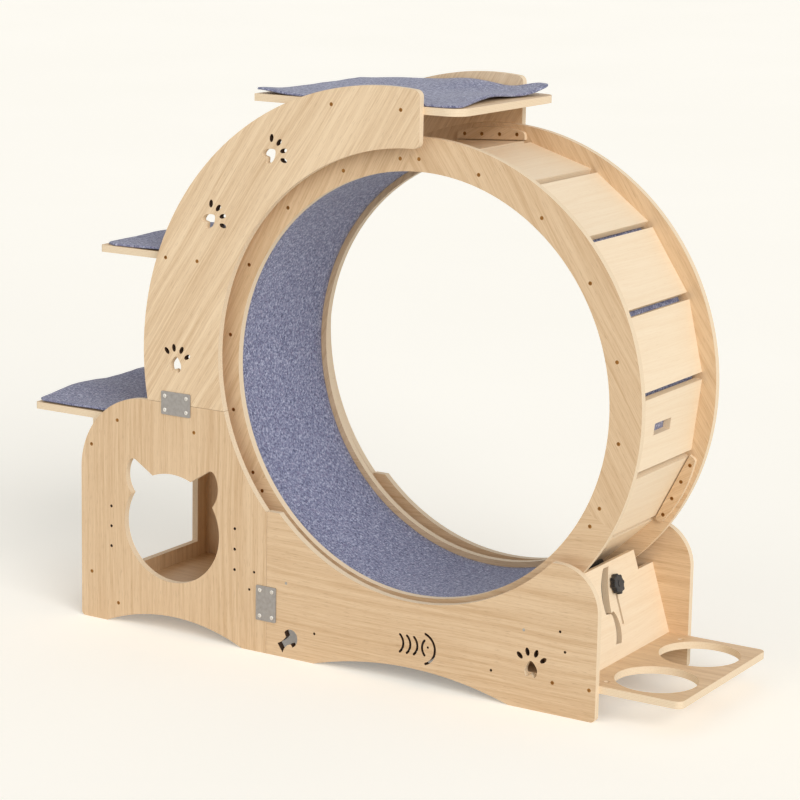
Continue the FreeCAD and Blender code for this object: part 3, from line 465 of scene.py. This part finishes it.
def liner_rows(radius, turn, near_y, far_y):
    """Points of the liner from one end of the strip to the other, which is a turn further."""
    cells_round, cells_along = LINER_CELLS
    start = math.radians(LINER_SEAM_ANGLE)
    rows = []
    for i in range(cells_round + 1):
        angle = start + turn * i / cells_round
        row = []
        for j in range(cells_along + 1):
            y = near_y + (far_y - near_y) * j / cells_along
            sink = abs(lump(math.cos(angle), y * 2, math.sin(angle), *LINER_LUMPS))
            x = WHEEL_X + (radius - sink) * math.cos(angle)
            row.append((x, y, WHEEL_Z + (radius - sink) * math.sin(angle)))
        rows.append(row)
    return rows


def liner_sheet(material):
    """Long strip of felt glued round inside the slats, its two ends butted."""
    low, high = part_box("felt_liner")
    radius = (high[0] - low[0]) / 2
    turn = 2 * math.pi - LINER_SEAM_GAP / radius
    piece = thick_sheet("wheel_felt", liner_rows(radius, turn, low[1], high[1]), material)
    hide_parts("felt_liner")
    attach(piece, "wheel")


def corner_cut(distance, radius):
    """How far a rounded corner draws an end in, at a distance from the side edge."""
    inside = max(radius - max(distance, 0.0), 0.0)
    return radius - math.sqrt(radius ** 2 - inside ** 2)


def lift(u, v, length, depth, rises):
    """Height of the felt over its step at a share of its length and depth."""
    total = 0.0
    for at_u, at_v, height, reach in rises:
        away = math.hypot((u - at_u) * length, (v - at_v) * depth)
        total += height * math.exp(-((away / reach) ** 2))
    return total


def step_rows(low, high, free_end, corner_r, hollow, rises):
    """Points of a step's felt over the box from low to high, row by row along x."""
    length, depth = high[0] - low[0], high[1] - low[1]
    cells_x, cells_y = round(length / SHEET_CELL), round(depth / SHEET_CELL)
    rows = []
    for i in range(cells_x + 1):
        u = i / cells_x
        row = []
        for j in range(cells_y + 1):
            v = j / cells_y
            y = low[1] + depth * v
            side = min(v, 1 - v) * depth
            end_in = corner_cut(side, corner_r) + hollow * math.sin(math.pi * v)
            left = low[0] + (end_in if free_end < 0 else 0.0)
            right = high[0] - (end_in if free_end > 0 else 0.0)
            x = left + (right - left) * u
            if min(u, 1 - u, v, 1 - v) == 0:
                x += lump(x, y, 0.0, *CUT_EDGE_LUMPS)
                y += lump(x, y, 5.0, *CUT_EDGE_LUMPS)
            z = low[2] + abs(lump(x, y, 9.0, *STEP_LUMPS))
            row.append((x, y, z + lift(u, v, length, depth, rises)))
        rows.append(row)
    return rows


def step_sheet(name, board, free_end, corner_r, hollow, rises, material):
    """Felt lying loose on a step, its rim lifting here and there.

    free_end is -1 or 1 for the end with rounded corners, which is hollow by so much in its
    middle.
    """
    node = board + "_felt"
    low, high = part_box(node)
    length, depth = high[0] - low[0], high[1] - low[1]
    rows = step_rows(low, high, free_end, corner_r, hollow, rises)
    piece = thick_sheet(name, rows, material)
    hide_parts(node)
    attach(piece, "stand")
    cut_away = (1 - math.pi / 4) * 2 * corner_r ** 2 + hollow * depth * 2 / math.pi
    depth * length - cut_away


# ---------------------------------------------------------------- metal, rubber and plastic

UPRIGHT_BRUSHING = (1, 1, 0.05)


def metal(name, tones, roughness, marks_across=ALONG_Z):
    """Plated or brushed metal, whose fine marks change most along the axes of marks_across."""
    paint = Paint(name, Metallic=1.0)
    clean, dull = [linear(tone) for tone in tones]
    place = paint.place()
    marks = paint.noise(paint.vector_math("MULTIPLY", place, marks_across), 1800.0, 3.0, 0.7)
    cloud = paint.noise(place, 130.0, 2.0)
    paint.color(paint.mix(paint.step(cloud * 0.6 + marks * 0.4, 0.3, 0.8), clean, dull))
    paint.roughness(marks * 0.15 + roughness)
    paint.bump(marks, 0.1, 0.0002)
    return paint.material


def plastic(name, tones, roughness):
    """Moulded plastic or rubber with a fine grain."""
    paint = Paint(name)
    clean, worn = [linear(tone) for tone in tones]
    place = paint.place()
    grain = paint.noise(place, 1500.0, 2.0, 0.6)
    cloud = paint.noise(place, 60.0, 3.0)
    paint.color(paint.mix(paint.step(cloud, 0.35, 0.75), clean, worn))
    paint.roughness(cloud * 0.15 + roughness)
    paint.bump(grain, 0.25, 0.0003)
    return paint.material


# ---------------------------------------------------------------- finishes on the pieces

def dress(material, *nodes):
    """Give the solids' pieces a material in place of their flat one."""
    for name in nodes:
        mesh = frame["nodes"][name].data
        mesh.materials.clear()
        mesh.materials.append(material)


def dress_side(side, shift):
    """The panels and ring segments of one side; shift gives the side a grain of its own."""
    house = wood(side + "_house_oak", ALONG_Y, ALONG_Z, seed=1.0 + shift, spots=PEG_HOLES)
    dress(house, side + "_house_panel")
    base = wood(side + "_base_oak", ALONG_Y, ALONG_X, seed=2.0 + shift, spots=BASE_CUTOUTS)
    dress(base, side + "_base_panel")
    arc_grain = across_wheel(ARC_GRAIN_ANGLE)
    arc = wood(
        side + "_arc_oak", ALONG_Y, arc_grain, PALE_TONES, 0.85, 3.0 + shift, arc_paws()
    )
    dress(arc, side + "_arc_panel")
    for index, angle in enumerate(RING_GRAIN_ANGLES):
        ring = "%s_ring_%d" % (side, index + 1)
        dress(wood(ring + "_oak", ALONG_Y, across_wheel(angle), seed=4.0 + index + shift), ring)


def dress_wood():
    """Each board's grain follows the way its sheet was cut."""
    dress_side("front", 0.0)
    dress_side("rear", 11.0)
    dress(wood("slat_birch", None, ALONG_Y, SLAT_TONES, 0.6, 21.0), *SLATS)
    splice_grain = across_wheel(SPLICE_GRAIN_ANGLE)
    dress(wood("splice_oak", ALONG_Y, splice_grain, seed=31.0), "ring_splices")
    level = wood("level_oak", ALONG_Z, ALONG_X, seed=41.0)
    dress(level, "lower_step", "middle_step", "top_platform")
    dress(level, "house_floor", "left_cross_rail", "bowl_board")
    dress(wood("end_oak", ALONG_X, ALONG_Z, seed=51.0), "house_end_board")
    out = JOINTS["knob_turn"]["axis"]
    dress(wood("lock_birch", out, ALONG_Y, SLAT_TONES, 0.7, 61.0), "lock_board")
    out_left = (-out[0], out[1], out[2])
    dress(wood("slope_oak", out_left, ALONG_Y, seed=71.0), "house_slope_board")


def dress_hardware():
    """Metal, rubber and plastic pieces."""
    dress(metal("plate_steel", PLATE_STEEL, 0.42, UPRIGHT_BRUSHING), "joining_plates")
    dress(metal("bright_zinc", BRIGHT_ZINC, 0.25), "plate_screws")
    yellow_zinc = metal("yellow_zinc", YELLOW_ZINC, 0.35)
    dress(yellow_zinc, "panel_screws", "ring_screws", "splice_screws")
    dress(metal("dark_steel", BROWN_STEEL, 0.45), "brace_screws")
    dress(metal("zinc_bolt", BOLT_ZINC, 0.3), "roller_axles", "lock_bolt")
    # The tab is black so that its edge above the lock board gives painted shade in the dark wedge
    # under the wheel.
    dress(metal("black_steel_as_shade", BLACK_STEEL_AS_SHADE, 0.45), "lock_tab")
    dress(plastic("spacer_nylon", BLACK_NYLON, 0.45), "roller_spacers", "lock_washer")
    dress(plastic("knob_black", BLACK_KNOB, 0.4), "lock_knob")
    rollers = ["%s_%s_roller" % (side, end) for side in SIDES for end in ("left", "right")]
    dress(plastic("roller_rubber", BLACK_RUBBER, 0.7), *rollers)


def lay_felts():
    """The liner of the wheel and the three felts that lie on the steps."""
    felt_blue = felt("felt_blue")
    liner_sheet(felt_blue)
    for step_felt in STEP_FELTS:
        step_sheet(*step_felt, felt_blue)


# ---------------------------------------------------------------- camera, light and floor

PHOTO_SIZE = 800
FOCAL_PX = 2627.0
CAMERA_AZIMUTH = 31.47
CAMERA_ELEVATION = 10.53
CAMERA_ROLL = 1.04
CAMERA_DISTANCE = 5.431
CAMERA_TARGET = Vector((0.0215, 0.0, 0.6955))
CAMERA_SHIFT_Y = -0.1

# A sun is the direction towards it, its level and its spread in degrees.
KEY_LIGHT = ((0.75, -0.45, 0.42), 0.57, 40)
FILL_LIGHT = ((-0.3, -0.8, 0.5), 0.1, 60)
WORLD_LEVEL = 0.45
FLOOR_GLOW = 0.24
FLOOR_HALF = 40.0


def add_camera():
    """Camera at the photograph's angle; azimuth 0 looks along +y."""
    azimuth = math.radians(CAMERA_AZIMUTH)
    elevation = math.radians(CAMERA_ELEVATION)
    roll = math.radians(CAMERA_ROLL)
    forward = Vector((
        -math.sin(azimuth) * math.cos(elevation),
        math.cos(azimuth) * math.cos(elevation),
        -math.sin(elevation),
    ))
    right = Vector((math.cos(azimuth), math.sin(azimuth), 0.0))
    up = right.cross(forward)
    rolled_right = math.cos(roll) * right + math.sin(roll) * up
    rolled_up = math.cos(roll) * up - math.sin(roll) * right
    data = bpy.data.cameras.new("photo_camera")
    data.sensor_width = 36.0
    data.lens = data.sensor_width * FOCAL_PX / PHOTO_SIZE
    data.shift_y = CAMERA_SHIFT_Y
    camera = bpy.data.objects.new("photo_camera", data)
    rotation = Matrix((rolled_right, rolled_up, -forward)).transposed().to_4x4()
    camera.matrix_world = Matrix.Translation(CAMERA_TARGET - forward * CAMERA_DISTANCE) @ rotation
    bpy.context.scene.collection.objects.link(camera)
    bpy.context.scene.camera = camera


def add_sun(name, towards_light, level, spread):
    """Soft sun; level is how bright a white surface facing it gets."""
    data = bpy.data.lights.new(name, "SUN")
    data.energy = level * math.pi
    data.angle = math.radians(spread)
    lamp = bpy.data.objects.new(name, data)
    lamp.rotation_mode = "QUATERNION"
    lamp.rotation_quaternion = Vector(towards_light).to_track_quat("Z", "Y")
    bpy.context.scene.collection.objects.link(lamp)


def add_world():
    """Even light from all round; the camera and reflections see the pale backdrop."""
    world = bpy.data.worlds.new("studio")
    world.use_nodes = True
    bpy.context.scene.world = world
    nodes = Nodes(world.node_tree)
    grey = (WORLD_LEVEL, WORLD_LEVEL, WORLD_LEVEL, 1)
    seen = nodes.mix(nodes.seen_directly(), grey, linear(FLOOR))
    nodes.feed(world.node_tree.nodes["Background"].inputs["Color"], seen)


def add_floor():
    """Wide pale floor, a little brighter to the eye than the light that it gives back."""
    paint = Paint("pale_floor", Roughness=0.9, Emission_Strength=FLOOR_GLOW)
    cloud = paint.noise(paint.place(), 0.7, 2.0)
    paint.color(paint.mix(cloud, linear(FLOOR), linear(FLOOR_CLOUD)))
    glow = paint.mix(paint.seen_directly(), (0, 0, 0, 1), linear(FLOOR))
    paint.feed(paint.shader.inputs["Emission Color"], glow)
    half = FLOOR_HALF
    mesh = bpy.data.meshes.new("floor")
    corners = [(-half, -half, 0), (half, -half, 0), (half, half, 0), (-half, half, 0)]
    mesh.from_pydata(corners, [], [(0, 1, 2, 3)])
    mesh.materials.append(paint.material)
    floor = bpy.data.objects.new("floor", mesh)
    bpy.context.scene.collection.objects.link(floor)


def main():
    """Dress the solids, lay the felts and set up the view."""
    dress_wood()
    dress_hardware()
    lay_felts()
    add_camera()
    add_sun("key_light", *KEY_LIGHT)
    add_sun("fill_light", *FILL_LIGHT)
    add_world()
    add_floor()
    bpy.context.scene.view_settings.view_transform = "Standard"


main()
